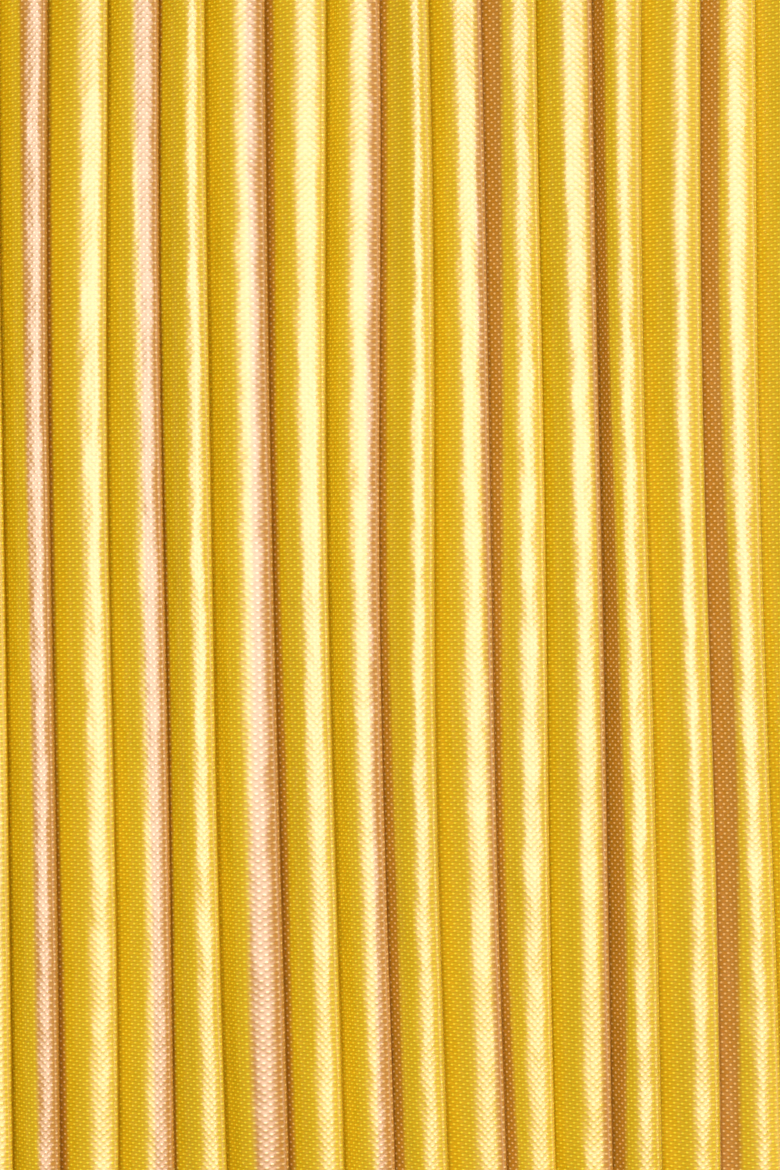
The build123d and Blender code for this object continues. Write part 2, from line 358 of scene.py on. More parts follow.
# The sash's two turned hems, as shares of the hem's width from its edge, and of the pleats' lift
FIRST_HEM = np.array([(1.6, -0.42), (0.6, -0.46), (0.05, -0.36), (-0.1, -0.12)])
LAST_HEM = np.array([(0.0, 0.16), (0.16, 0.0), (0.1, -0.30), (-0.4, -0.44), (-1.6, -0.44)])
HEM_CLOTH = 0.45


def pleat_profile(samples):
    """One pleat's points, sampled evenly between its knots."""
    loop = np.concatenate([PLEAT_KNOTS[-1:] - (1, 0), PLEAT_KNOTS, PLEAT_KNOTS[:3] + (1, 0)])
    points = smooth_through(loop, 1 + np.arange(samples + 1) * len(PLEAT_KNOTS) / samples)
    return points[:, 0], points[:, 1]


class Pleats:
    """The cross-section of a whole pleated sash, for a number of rows along it.

    Each pleat's width, crest, tilt and height vary from pleat to pleat and slowly along the sash, as
    sums of sines with a phase of its own for each pleat."""

    def __init__(self, settings, along, samples, width, seed, lift=PLEAT_LIFT, hem=1.2):
        count, uneven = settings.count, settings.unevenness
        phase = np.random.default_rng(seed).uniform(0, 2 * pi, (5, count + 1))[:, :count]
        row = np.asarray(along, float)[:, None]
        share = 1 + uneven * (
            0.085 * np.sin(phase[0] * 3) + 0.06 * np.sin(row / 34 + phase[1]) + 0.03 * np.sin(row / 13 + phase[2])
        )
        widths = share / share.sum(axis=1, keepdims=True)
        edges = np.concatenate([np.zeros((len(row), 1)), np.cumsum(widths, axis=1)], axis=1)
        x, h = pleat_profile(samples)
        steps = np.hypot(np.diff(x) * (width / count), np.diff(h) * lift)
        length = np.concatenate([[0], np.cumsum(steps)])
        self.cloth_per_pleat = length[-1]
        self.fold_place = np.interp(FOLD_SHARE, np.arange(samples + 1) / samples, length)
        x, h, length = x[:-1], h[:-1], length[:-1]
        top = (np.arange(samples) < samples * FOLD_SHARE).astype(float)
        bump = top * np.sin(pi * np.clip(x, 0, 1)) ** 2
        crest = uneven * (0.06 * np.sin(phase[3]) + 0.035 * np.sin(row / 31 + phase[3] * 2))
        tilt = uneven * (0.12 * np.sin(phase[4]) + 0.08 * np.sin(row / 23 + phase[4] * 2))
        height = 1 + uneven * 0.14 * np.sin(phase[2] * 2)[:, None]
        across = edges[:, :count, None] + widths[:, :, None] * (x + crest[:, :, None] * bump)
        lifts = h * height + tilt[:, :, None] * bump * (np.clip(x, 0, 1) - 0.55) * 2
        first, last = FIRST_HEM * (hem / width, 1), (1, 0) + LAST_HEM * (hem / width, 1)
        rows = len(row)
        self.across, self.lift = (
            np.hstack([np.tile(first[:, part], (rows, 1)), inner.reshape(rows, -1), np.tile(last[:, part], (rows, 1))])
            for part, inner in enumerate((across, lifts))
        )
        cloth = (np.arange(count)[:, None] * self.cloth_per_pleat + length).ravel()
        before = -np.arange(len(first), 0, -1) * hem * HEM_CLOTH
        after = count * self.cloth_per_pleat + np.arange(len(last)) * hem * HEM_CLOTH
        self.cloth = np.concatenate([before, cloth, after])
        self.flat_width = self.cloth[-1] - self.cloth[0]

    def map_places(self, along):
        """Millimetres across and along the flat cloth for every point of the grid."""
        return merged(self.cloth[None, :], np.asarray(along, float)[:, None])


# ---- Shader node groups ----


class Value:
    """A node's output. Arithmetic with it adds Math nodes to its tree."""

    def __init__(self, wiring, socket):
        self.wiring, self.socket = wiring, socket

    def __add__(self, other):
        return self.wiring.math("ADD", self, other)

    def __sub__(self, other):
        return self.wiring.math("SUBTRACT", self, other)

    def __mul__(self, other):
        return self.wiring.math("MULTIPLY", self, other)

    def __truediv__(self, other):
        return self.wiring.math("DIVIDE", self, other)


class Wiring:
    """Short ways to add nodes to a tree. Its end is the node that the tree's results go to."""

    def __init__(self, tree, end):
        self.tree, self.end = tree, end

    def add(self, kind, inputs=(), **settings):
        """A node with its settings, and its inputs joined or given a value."""
        made = self.tree.nodes.new(kind)
        for key, value in settings.items():
            setattr(made, key, value)
        for key, value in dict(inputs).items():
            self.feed(made.inputs[key], value)
        return made

    def node(self, kind, inputs=(), output=0, **settings):
        """One output of a new node."""
        return Value(self, self.add(kind, inputs, **settings).outputs[output])

    def feed(self, socket, value):
        """Joins a socket to a value in the tree, or sets it."""
        if isinstance(value, Value):
            self.tree.links.new(value.socket, socket)
        else:
            socket.default_value = value

    def give(self, **results):
        """Joins or sets the end's inputs. Underscores in their names stand for spaces."""
        for key, value in results.items():
            self.feed(self.end.inputs[key.replace("_", " ")], value)

    def math(self, operation, *values):
        """A Math node's result."""
        return self.node("ShaderNodeMath", enumerate(values), operation=operation)

    def size(self, value):
        """A value without its sign."""
        return self.math("ABSOLUTE", value)

    def split(self, vector):
        """The first two numbers of a vector."""
        made = self.add("ShaderNodeSeparateXYZ", {0: vector})
        return Value(self, made.outputs[0]), Value(self, made.outputs[1])

    def stretch(self, vector, scale):
        """A vector scaled along each axis."""
        return self.node("ShaderNodeMapping", {"Vector": vector, "Scale": scale})

    def ramp(self, value, low, high, to_low=0.0, to_high=1.0, smooth=True):
        """A value carried from one range to another, smoothly or straight."""
        kind = "SMOOTHSTEP" if smooth else "LINEAR"
        inputs = {"Value": value, "From Min": low, "From Max": high, "To Min": to_low, "To Max": to_high}
        return self.node("ShaderNodeMapRange", inputs, "Result", interpolation_type=kind)

    def mix(self, factor, first, second, blend_type="MIX"):
        """A mix of two colours."""
        return self.node("ShaderNodeMix", {0: factor, 6: first, 7: second}, 2, data_type="RGBA", blend_type=blend_type)

    def shades(self, value, reach, colour, dark, light):
        """A colour scaled from dark to light, as a value goes from minus its reach to its reach."""
        return self.mix(self.ramp(value, -reach, reach), rgba(colour, dark), rgba(colour, light))

    def noise(self, vector, scale, detail=2.0, roughness=0.5):
        """Noise from -0.5 to 0.5."""
        inputs = {"Vector": vector, "Scale": scale, "Detail": detail, "Roughness": roughness}
        return self.node("ShaderNodeTexNoise", inputs, "Fac") - 0.5

    def bump(self, height, distance, **under):
        """Bump of a given depth in metres on the tree's shader, over another bump if there is one."""
        made = self.node("ShaderNodeBump", {"Height": height, "Distance": distance, "Strength": 1.0, **under})
        self.give(Normal=made)
        return made

    def cloth(self):
        """Millimetres across and along the flat cloth, from the piece's own map."""
        return self.node("ShaderNodeUVMap", output="UV", uv_map="cloth")

    def place(self):
        """Place in the piece's own space, in metres."""
        return self.node("ShaderNodeTexCoord", output="Object")

    def group(self, name, **inputs):
        """The outputs of a placed copy of a node group, by name."""
        tree = bpy.data.node_groups[name]
        made = self.add("ShaderNodeGroup", node_tree=tree)
        for key, value in inputs.items():
            self.feed(made.inputs[key.replace("_", " ")], value)
        return {output.name: Value(self, output) for output in made.outputs}


def rgba(colour, scale=1.0):
    """A colour setting as four numbers."""
    return (*(channel * scale for channel in colour), 1.0)


def new_group(name, vector, outputs, **numbers):
    """A shader node group that takes a vector and some numbers. Gives its wiring and what it is given."""
    tree = bpy.data.node_groups.new(name, "ShaderNodeTree")
    tree.interface.new_socket(name=vector, in_out="INPUT", socket_type="NodeSocketVector")
    for key, usual in numbers.items():
        label = key.replace("_", " ")
        socket = tree.interface.new_socket(name=label, in_out="INPUT", socket_type="NodeSocketFloat")
        socket.default_value = usual
    for label in outputs:
        tree.interface.new_socket(name=label, in_out="OUTPUT", socket_type="NodeSocketFloat")
    given, end = tree.nodes.new("NodeGroupInput"), tree.nodes.new("NodeGroupOutput")
    wiring = Wiring(tree, end)
    return wiring, {socket.name: Value(wiring, socket) for socket in given.outputs}


def satin_weave_group():
    """Satin weave. The floats stand in rows that are staggered by half a repeat, so their height is the
    cosine of the place across times the cosine of the place along. A rib runs across under each row of
    floats, and fine threads slant between them."""
    outputs = ("Floats", "Threads", "Height")
    w, given = new_group("satin_weave", "Cloth", outputs, Across_repeat=0.566, Along_repeat=0.548, Wander=0.05)
    x, y = w.split(given["Cloth"])
    drift = w.noise(given["Cloth"], 0.9) * given["Wander"]
    across = (x + drift) / given["Across repeat"]
    along = (y + drift) / given["Along repeat"]
    product = w.math("COSINE", across * (2 * pi)) * w.math("COSINE", along * (2 * pi))
    ribs = w.math("COSINE", along * (4 * pi))
    slant = w.math("COSINE", (across + along * 3.0) * (2 * pi))
    threads = w.ramp(ribs * 0.6 + slant * 0.4, -1, 1, smooth=False)
    w.give(Floats=w.ramp(product, 0.3, 1.0), Threads=threads, Height=product * 0.5 + threads * 0.3)


def woven_stripes_group():
    """Lengthwise stripes: 1 within half a stripe's width of its middle, 0 outside, and repeating. Slow
    noise along the cloth moves each stripe's two edges a little."""
    numbers = {"Repeat": 20.0, "Middle": 5.0, "Width": 9.0, "Softness": 0.3, "Wander": 0.8}
    w, given = new_group("woven_stripes", "Cloth", ("Mask",), **numbers)
    x, y = w.split(given["Cloth"])
    place = (x - given["Middle"]) / given["Repeat"]
    nearest = w.math("ROUND", place)
    from_middle = place - nearest
    side = w.math("SIGN", from_middle)
    lane = w.node("ShaderNodeCombineXYZ", {0: nearest * 7.3, 1: y * 0.016, 2: side * 3.7})
    moved = w.noise(lane, 1.0, 1.0) * (given["Wander"] * 2.0)
    speckle = w.noise(given["Cloth"], 2.2, 1.0) * given["Softness"]
    off = w.size(from_middle) * given["Repeat"] + moved + speckle
    half = given["Width"] * 0.5
    w.give(Mask=w.ramp(off, half - given["Softness"], half + given["Softness"], 1.0, 0.0))


def twisted_yarn_group():
    """Yarn twisted into a strand: ridges that run round and along at once, with fine fibres over them. The mask
    between the ridges is used for painted shade.
    """
    w, given = new_group("twisted_yarn", "Cloth", ("Height", "Groove"), Girth=3.6, Pitch=2.4, Plies=2.0)
    x, y = w.split(given["Cloth"])
    wave = w.math("SINE", (x / given["Girth"] * given["Plies"] + y / given["Pitch"]) * (2 * pi))
    ridge = w.ramp(w.size(wave), 0.0, 0.9)
    fibre = w.noise(given["Cloth"], 6.0, 3.0, 0.7)
    w.give(Height=ridge + fibre * 0.35, Groove=w.math("SUBTRACT", 1.0, ridge))


def fine_pile_group():
    """Napped pile or wadding: two sizes of noise, sharpened into tufts."""
    w, given = new_group("fine_pile", "Place", ("Height", "Shade"), Tufts=900.0)
    tufts = w.noise(given["Place"], given["Tufts"], 4.0, 0.65)
    patches = w.noise(given["Place"], given["Tufts"] * 0.12, 2.0)
    w.give(Height=w.size(tufts * 2.0), Shade=tufts + patches * 0.15)


# ---- Materials ----

# Lighter colours mixed onto the satin's floats: a painted glint where the floats catch the light.
PAINTED_GLINT_YELLOW = (1.0, 0.83, 0.035, 1)
PAINTED_GLINT_COPPER = (0.92, 0.6, 0.2, 1)
WADDING = (0.82, 0.8, 0.74)
CANVAS = (0.78, 0.75, 0.66)
MATERIALS = {}
GRIDS = {}


def new_material(name, **shader):
    """A material with one Principled shader, whose plain values are set on its own sockets."""
    material = bpy.data.materials.new(name)
    material.use_nodes = True
    wiring = Wiring(material.node_tree, material.node_tree.nodes["Principled BSDF"])
    wiring.give(**shader)
    return material, wiring


def make_pleated_satin(colours, repeat, section):
    """Heavy satin with copper stripes that fall on every other fold. The floats are mixed towards a lighter colour, a
    painted glint where they catch the light, and the grooves between rows of floats and along the slanting threads are
    darkened, a painted shade."""
    material, w = new_material("pleated satin", Roughness=0.25, IOR=1.55, Specular_IOR_Level=1.0)
    cloth = w.cloth()
    weave = w.group("satin_weave", Cloth=cloth, Across_repeat=repeat, Along_repeat=repeat * 0.97)
    period, middle = 2 * section.cloth_per_pleat + 0.34, section.fold_place + 1.8
    stripes = w.group("woven_stripes", Cloth=cloth, Repeat=period, Middle=middle, Width=7.9, Softness=0.25, Wander=1.2)
    yellow = w.shades(w.noise(cloth, 0.035), 0.2, colours.yellow, 0.96, 1.03)
    ground = w.mix(stripes["Mask"], yellow, rgba(colours.copper))
    # Painted glint: the floats are mixed towards a lighter colour.
    glinted = w.mix(weave["Floats"], ground, w.mix(stripes["Mask"], PAINTED_GLINT_YELLOW, PAINTED_GLINT_COPPER))
    # Painted shade: darker in the grooves between rows of floats and along the slanting threads.
    shade = w.ramp(weave["Threads"], 0, 1, 0.8, 1.06)
    shadow = w.node("ShaderNodeCombineColor", {0: shade, 1: shade, 2: shade})
    w.give(Base_Color=w.mix(1.0, glinted, shadow, "MULTIPLY"), Roughness=w.ramp(weave["Floats"], 0, 1, 0.36, 0.30))
    crumple = w.bump(w.noise(w.stretch(cloth, (1, 0.4, 1)), 0.45), 0.00018)
    w.bump(weave["Height"], 0.000012, Normal=crumple)
    return material


def make_plain_satin(colour, repeat):
    """Plain lining satin: the same weave, finer and flatter, with faint slubs along it. Its floats are mixed towards a
    lighter copy of the colour, a painted glint.
    """
    material, w = new_material("plain lining satin", IOR=1.5, Specular_IOR_Level=0.8)
    cloth = w.cloth()
    weave = w.group("satin_weave", Cloth=cloth, Across_repeat=repeat, Along_repeat=repeat)
    slubs = w.noise(w.stretch(cloth, (1.4, 0.05, 1)), 1.0, 3.0)
    tone = w.shades(slubs, 0.25, colour, 0.85, 1.1)
    # Painted glint: the floats are mixed towards a lighter copy of the colour.
    glinted = w.mix(weave["Floats"] * 0.3, tone, rgba(colour, 1.35))
    w.give(Base_Color=glinted, Roughness=w.ramp(weave["Floats"], 0, 1, 0.45, 0.36))
    w.bump(weave["Height"] + slubs * 0.6, 0.00004)
    return material


def make_yarn(name, colour, girth, pitch, depth=0.0002):
    """Twisted yarn, with painted shade darkening the grooves between its plies."""
    material, w = new_material(name, Roughness=0.4, IOR=1.5, Specular_IOR_Level=0.8, Sheen_Weight=0.15)
    twist = w.group("twisted_yarn", Cloth=w.cloth(), Girth=girth, Pitch=pitch)
    tone = w.shades(w.noise(w.place(), 160.0, 1.0), 0.2, colour, 0.85, 1.12)
    # Painted shade: the grooves between the plies take a darker copy of the colour.
    w.give(Base_Color=w.mix(twist["Groove"], tone, rgba(colour, 0.6)))
    w.bump(twist["Height"], depth)
    return material


def make_pile(name, colour, tufts, depth, roughness=0.9, sheen=0.3):
    """Brushed pile, wadding or the ground of the hook tape."""
    material, w = new_material(name, Roughness=roughness, Sheen_Weight=sheen, Sheen_Roughness=0.6)
    pile = w.group("fine_pile", Place=w.place(), Tufts=tufts)
    w.give(Base_Color=w.shades(pile["Shade"], 0.3, colour, 0.6, 1.2))
    w.bump(pile["Height"], depth)
    return material


def make_canvas():
    """Stiff woven canvas, with a plain weave of crossing threads, and painted shade darkening it where the threads
    sink.
    """
    material, w = new_material("interlining canvas", Roughness=0.85)
    wave = {"Vector": w.place(), "Scale": 700.0, "Distortion": 0.4}
    threads = [w.node("ShaderNodeTexWave", wave, "Fac", bands_direction=axis) for axis in "ZX"]
    height = w.math("MAXIMUM", *threads)
    # Painted shade: a darker copy of the colour where the threads sink.
    w.give(Base_Color=w.mix(height, rgba(CANVAS, 0.7), rgba(CANVAS)))
    w.bump(height, 0.0001)
    return material


def make_braid(colour):
    """Woven heading braid: the yarn's twist on each chevron, with painted shade darkening the gaps and a painted
    highlight lightening the ridges.
    """
    material, w = new_material("heading braid", Roughness=0.42, IOR=1.5, Specular_IOR_Level=0.8)
    cloth = w.cloth()
    x, y = w.split(cloth)
    fold = w.size(w.math("FRACT", y / CHEVRON) - 0.5)
    ridge = w.ramp(w.size(w.math("SINE", (x / 1.6 + fold * 2.2) * pi)), 0.1, 0.9)
    # Painted shade in the gaps and painted highlight on the ridges: darker and lighter copies of the colour.
    w.give(Base_Color=w.mix(ridge, rgba(colour, 0.4), rgba(colour, 1.15)))
    w.bump(ridge + w.noise(cloth, 5.0, 3.0) * 0.3, 0.00025)
    return material


def make_hook_plastic(colour):
    """The hooks' smooth nylon, a little cloudy from one hook to the next."""
    material, w = new_material("hook nylon", Roughness=0.35, IOR=1.53)
    w.give(Base_Color=w.shades(w.noise(w.place(), 400.0), 0.3, colour, 0.9, 1.25))
    return material


# ---- The path of the band round the waist ----


def back_station(angle, radius):
    """Place and heading on the back of the oval, at an angle to the right of its middle."""
    outward = np.array([sin(radians(angle)), cos(radians(angle))])
    centre = np.array([0.0, WAIST_HALF_DEPTH - FRONT_RADIUS])
    return centre + outward * radius, np.array([-outward[1], outward[0]])


def walk(path, distance, offset=0.0):
    """Places, and directions outwards, at distances along a path: a station, and a chain of tangent arcs
    from it. A positive turn bends to the left of the heading. The offset is how far outside to stand."""
    distance = np.asarray(distance, float)
    (place, heading), arcs = path
    points = np.zeros((*distance.shape, 2))
    outwards = np.zeros((*distance.shape, 2))
    start = 0.0
    for order, (radius, turn) in enumerate(arcs):
        length = radius * radians(abs(turn))
        here = ((distance >= start) | (order == 0)) & ((distance < start + length) | (order == len(arcs) - 1))
        side = 1.0 if turn > 0 else -1.0
        back = np.array([heading[1], -heading[0]]) * side
        centre = place - back * radius
        angle = (distance - start) / radius * side
        spun = merged(
            back[0] * np.cos(angle) - back[1] * np.sin(angle), back[0] * np.sin(angle) + back[1] * np.cos(angle)
        )
        points = np.where(here[..., None], centre + spun * radius, points)
        outwards = np.where(here[..., None], spun * side, outwards)
        end = radians(turn)
        rotation = np.array([[cos(end), -sin(end)], [sin(end), cos(end)]])
        place = centre + rotation @ back * radius
        heading = rotation @ heading
        start += length
    return points + outwards * np.asarray(offset)[..., None], outwards


def chain_length(arcs):
    """Length of a chain of arcs."""
    return sum(radius * radians(abs(turn)) for radius, turn in arcs)


def band_path():
    """The band's chain of arcs, from its under end at the back, left round the front, and out over itself."""
    first = FRONT_RADIUS + JOG_RADIUS
    second = FRONT_RADIUS + FLAP_STEP - JOG_RADIUS
    between = 2 * JOG_RADIUS
    taken = degrees(acos((first**2 + second**2 - between**2) / (2 * first * second)))
    outward = degrees(acos((first**2 + between**2 - second**2) / (2 * first * between)))
    side = (SIDE_RADIUS, 2 * (90 - FRONT_REACH))
    arcs = [(FRONT_RADIUS, UNDERLAP_ANGLE + FRONT_REACH), side, (FRONT_RADIUS, 2 * FRONT_REACH), side]
    arcs += [(FRONT_RADIUS, FRONT_REACH - FLAP_ANGLE - taken), (JOG_RADIUS, -outward), (JOG_RADIUS, outward + taken)]
    return back_station(UNDERLAP_ANGLE, FRONT_RADIUS), arcs


def flap_path():
    """The flap's single arc, from beside its hinge to its free end."""
    return back_station(FLAP_ANGLE, FRONT_RADIUS + FLAP_STEP), [(FRONT_RADIUS + FLAP_STEP, FLAP_TURN)]


def whole_path():
    """The band's arcs and then the flap's, and the distance along them at which the hinge stands."""
    start, arcs = band_path()
    return (start, arcs + flap_path()[1]), chain_length(arcs)


def half_height(places):
    """Half the band's height: full, but pinched in where it passes behind the knot, following a curve
    that leaves both heights level."""
    t = np.linspace(0, 1, 60)
    reach = PINCH_REACH * (1 - cubic(t, 0, 0.5, 0.5, 1))
    high, low = BAND_HEIGHT / 2, PINCHED_HEIGHT / 2
    found = np.interp(np.abs(places[..., 0]), reach[::-1], cubic(t, high, high, low, low)[::-1])
    return np.where(places[..., 1] < 0, found, high)


def band_surface(path, distance, across, lift, base=CLOTH_BASE):
    """Points of the band: along its path, out by the base plus the lift, and up or down by the share
    across, from the top edge to the bottom one."""
    middle, outwards = walk(path, distance)
    flat = middle[:, None, :] + outwards[:, None, :] * (base + lift)[..., None]
    return stood(flat, half_height(middle)[:, None] * (1 - 2 * across))


# ---- Sewing and joining ----


def stitch_row(name, route, normals, length=2.3, gap=1.0, radius=0.17):
    """A row of stitches on a route: each a short spindle, half sunk in the cloth, with its radius the
    square root of one minus its place squared."""
    steps = np.linalg.norm(np.diff(route, axis=0), axis=-1)
    distance = np.concatenate([[0], np.cumsum(steps)])
    count = max(1, int(distance[-1] / (length + gap)))
    middles = (np.arange(count) + 0.5) * distance[-1] / count
    place = np.linspace(-1, 1, 6)
    at = middles[:, None] + place[None, :] * length / 2
    centres, normal = (
        np.stack([np.interp(at, distance, line[:, axis]) for axis in range(3)], -1) for line in (route, normals)
    )
    normal /= np.linalg.norm(normal, axis=-1, keepdims=True)
    along = centres[:, -1] - centres[:, 0]
    along = along / np.linalg.norm(along, axis=-1, keepdims=True)
    side = np.cross(normal, along[:, None, :])
    radii = np.broadcast_to(radius * np.sqrt(np.maximum(1.04 - place**2, 0.04)), at.shape)
    return closed_tubes(name, centres + normal * (radius * 0.35), radii, 6, MATERIALS["thread"], side, normal)


def tape_stitching(name, path, first, out, facing):
    """A row of stitches round a tape, two millimetres inside its edges: along the top, down, back along
    the bottom and up. Facing is 1 for a tape on the outside of the band and -1 for one on its inside."""
    inset = 2.0
    long = radians(TAPE_TURN) * path[1][0][0] - 2 * inset
    high = TAPE_HEIGHT - 2 * inset
    corners = np.cumsum([0, long, high, long, high])
    place = np.linspace(0, corners[-1], 400)
    distance = first + inset + np.interp(place, corners, [0, long, long, 0, 0])
    middle, outwards = walk(path, distance, out)
    route = stood(middle, np.interp(place, corners, np.array([1, 1, -1, -1, 1]) * high / 2))
    return stitch_row(name, route, stood(outwards * facing, np.zeros(len(place))), radius=0.13)


def edge_stitching(name, piece, samples, skip=0):
    """A row of stitches along the outer pleat at each edge of a pleated piece, on its crest."""
    grid = GRIDS[piece]
    normals = surface_normals(grid)
    columns = (len(FIRST_HEM) + int(samples * 0.3), grid.shape[1] - len(LAST_HEM) - int(samples * 0.72))
    return join_pieces(name, [stitch_row("row", grid[skip:, at], normals[skip:, at]) for at in columns])


def join_pieces(name, pieces):
    """One object from several that share a material."""
    bpy.ops.object.select_all(action="DESELECT")
    for piece in pieces:
        piece.select_set(True)
    bpy.context.view_layer.objects.active = pieces[0]
    bpy.ops.object.join()
    pieces[0].name = pieces[0].data.name = name
    return pieces[0]


def finish_piece(piece, body, slot, *nodes):
    """Rides a piece on its body, or leaves it unattached where the body is None. The slot, for its finish, is not
    used. Hides the CAD nodes that it stands for."""
    if body:
        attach(piece, body)
    if nodes:
        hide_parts(*nodes)


def lay_sheet(across):
    """Turns a sheet's flat size from millimetres into metres, and keeps nothing."""
    across * MM


def bend_with_flap(piece):
    """Bakes a piece's placing into its points."""
    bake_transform(piece)


def bend_hanging(piece):
    """Bakes a hanging piece's placing into its points."""
    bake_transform(piece)


# ---- Operators, one for each group of like pieces ----


def settings():
    """The three groups of settings."""
    scene = bpy.context.scene
    return scene.belt_pleats, scene.belt_colours, scene.belt_stage


class BELT_OT_materials(bpy.types.Operator):
    """Make the finishes that the pieces share"""

    bl_idname = "belt.make_materials"
    bl_label = "Make finishes"

    def execute(self, context):
        pleats, colours, _ = settings()
        for make_group in (satin_weave_group, woven_stripes_group, twisted_yarn_group, fine_pile_group):
            make_group()
        MATERIALS.update(
            satin=make_pleated_satin(colours, pleats.repeat, Pleats(pleats, [0.0], 17, BAND_HEIGHT, 1)),
            lining=make_plain_satin(colours.lining, 0.45),
            fringe=make_yarn("twisted fringe yarn", colours.trimming, 3.4, 2.6),
            thread=make_yarn("sewing thread", colours.thread, 1.1, 0.7, 0.00005),
            braid=make_braid(colours.trimming),
            hook=make_hook_plastic(colours.tape),
            loops=make_pile("loop pile", colours.tape, 1500.0, 0.0004),
            hooks=make_pile("hook tape ground", colours.tape, 2600.0, 0.00005, 0.5, 0.0),
            wadding=make_pile("felted wadding", WADDING, 500.0, 0.0006),
            canvas=make_canvas(),
        )
        repainted = {"loop_tape": "loops", "hook_tape": "hooks", "knot_patch": "loops"}
        repainted |= {f"{side}_tail_interlining": "canvas" for side in ("left", "right")}
        for node, finish in repainted.items():
            for place in frame["nodes"][node].material_slots:
                place.material = MATERIALS[finish]
        return {"FINISHED"}


def band_layers(name, path, along):
    """The pleated face and the plain lining of a stretch of the band. The flap's pieces start before its hinge. Short
    rows on both sides of the join keep the cloth's slope the same across it."""
    section = Pleats(settings()[0], along, 14, BAND_HEIGHT, seed=3)
    grid = GRIDS[f"{name}_pleats"] = band_surface(path, along, section.across, section.lift * PLEAT_LIFT)
    face = cloth_shell(f"{name}_pleats", grid, section.map_places(along), MATERIALS["satin"])
    lining = lining_sheet(f"{name}_lining_satin", path, along)
    body = None if name == "flap" else name
    finish_piece(face, body, "sash_satin", f"{name}_face")
    finish_piece(lining, body, "lining", f"{name}_lining")
    for piece, width in ((face, section.flat_width), (lining, BAND_HEIGHT)):
        if name == "flap":
            bend_with_flap(piece)
        lay_sheet(width)


def lining_sheet(name, path, along):
    """The lining of a stretch of band: flat across, with faint slanting pulls. Its lift is a small sine
    of the place along plus twice the place across, fading out at both edges."""
    across = np.linspace(0.0, 1.0, 25)[None, :]
    rows = along[:, None]
    slanting = np.sin(rows / 9 + across * 7) * 0.5 + np.sin(rows / 23 - across * 4)
    points = band_surface(path, along, across, 0.12 * slanting * np.sin(pi * across), base=0.25)
    cloth = merged(across * BAND_HEIGHT, rows)
    return cloth_shell(name, points, cloth, MATERIALS["lining"], LINING_SHELL, mirrored=True)


def canvas_sheet(name, path, along):
    """The stiffening canvas inside a stretch of band, a little lower than the cloth. It stops short of
    the flap's hinge, where the sash folds."""
    across = np.linspace(0.012, 0.988, 13)[None, :]
    points = band_surface(path, along, across, np.zeros((len(along), 13)), base=1.25)
    cloth = merged(across * BAND_HEIGHT, along[:, None])
    canvas = cloth_shell(f"{name}_canvas", points, cloth, MATERIALS["canvas"], 0.7)
    finish_piece(canvas, name, "stiffener", f"{name}_interlining")
    lay_sheet(BAND_HEIGHT)


class BELT_OT_waistband(bpy.types.Operator):
    """Make the pleated face, the lining and the canvas of the waistband"""

    bl_idname = "belt.make_waistband"
    bl_label = "Make waistband"

    def execute(self, context):
        path, hinge = whole_path()
        join = hinge - HINGE_REACH
        band_layers("waistband", path, np.append(np.linspace(0, join - SEAM_ROW, 138), join))
        canvas_sheet("waistband", path, np.linspace(1, hinge - BEND_REACH, 90))
        return {"FINISHED"}


class BELT_OT_flap(bpy.types.Operator):
    """Make the flap that closes the waistband at the back"""

    bl_idname = "belt.make_flap"
    bl_label = "Make flap"

    def execute(self, context):
        path, hinge = whole_path()
        end = chain_length(path[1])
        join = hinge - HINGE_REACH
        band_layers("flap", path, np.append(join, np.linspace(join + SEAM_ROW, end, 44)))
        canvas_sheet("flap", path, np.linspace(hinge + BEND_REACH, end - 1, 20))
        return {"FINISHED"}


def tail_edges(z):
    """The tail's inner and outer edges at heights z, for a tail on the +X side: the neck's two sides down
    to the top of the fan, then an outer edge that swells out on a cubic, over a slanting inner one."""
    inner = np.where(z < TAIL_TOP, TAIL_GAP + (TAIL_TOP - z) * TAIL_SLANT, TAIL_GAP - 0.3)
    neck_outer = NECK_X + 11.6
    full = TAIL_GAP + FAN_LENGTH * TAIL_SLANT + TAIL_WIDTH
    outer = cubic(np.clip((TAIL_TOP + 6 - z) / (FAN_LENGTH + 6), 0, 1), neck_outer, neck_outer + 20, full, full)
    return inner, outer + np.maximum(0.0, TAIL_TOP - FAN_LENGTH - z) * TAIL_SLANT


def tail_grid(section, z, sign):
    """Points of a tail's pleated face: across by the share between its edges, and forward by the lift.
    Where the tail is gathered, the same cloth stands up in deeper and narrower folds."""
    inner, outer = tail_edges(z)
    gathered = np.clip(1 - (outer - inner) / TAIL_WIDTH, 0, 1)[:, None] ** 1.5
    x = inner[:, None] + section.across * (outer - inner)[:, None]
    y = TAIL_Y + 0.3 + 3.0 * gathered - section.lift * PLEAT_LIFT * (1 + 2.0 * gathered)
    free = smooth_step(-TAIL_TOP, 60 - TAIL_TOP, -z)[:, None]
    y = y + 0.3 * np.sin(section.across * 5 + z[:, None] / 60) * free
    return merged(x * sign, y, z[:, None])


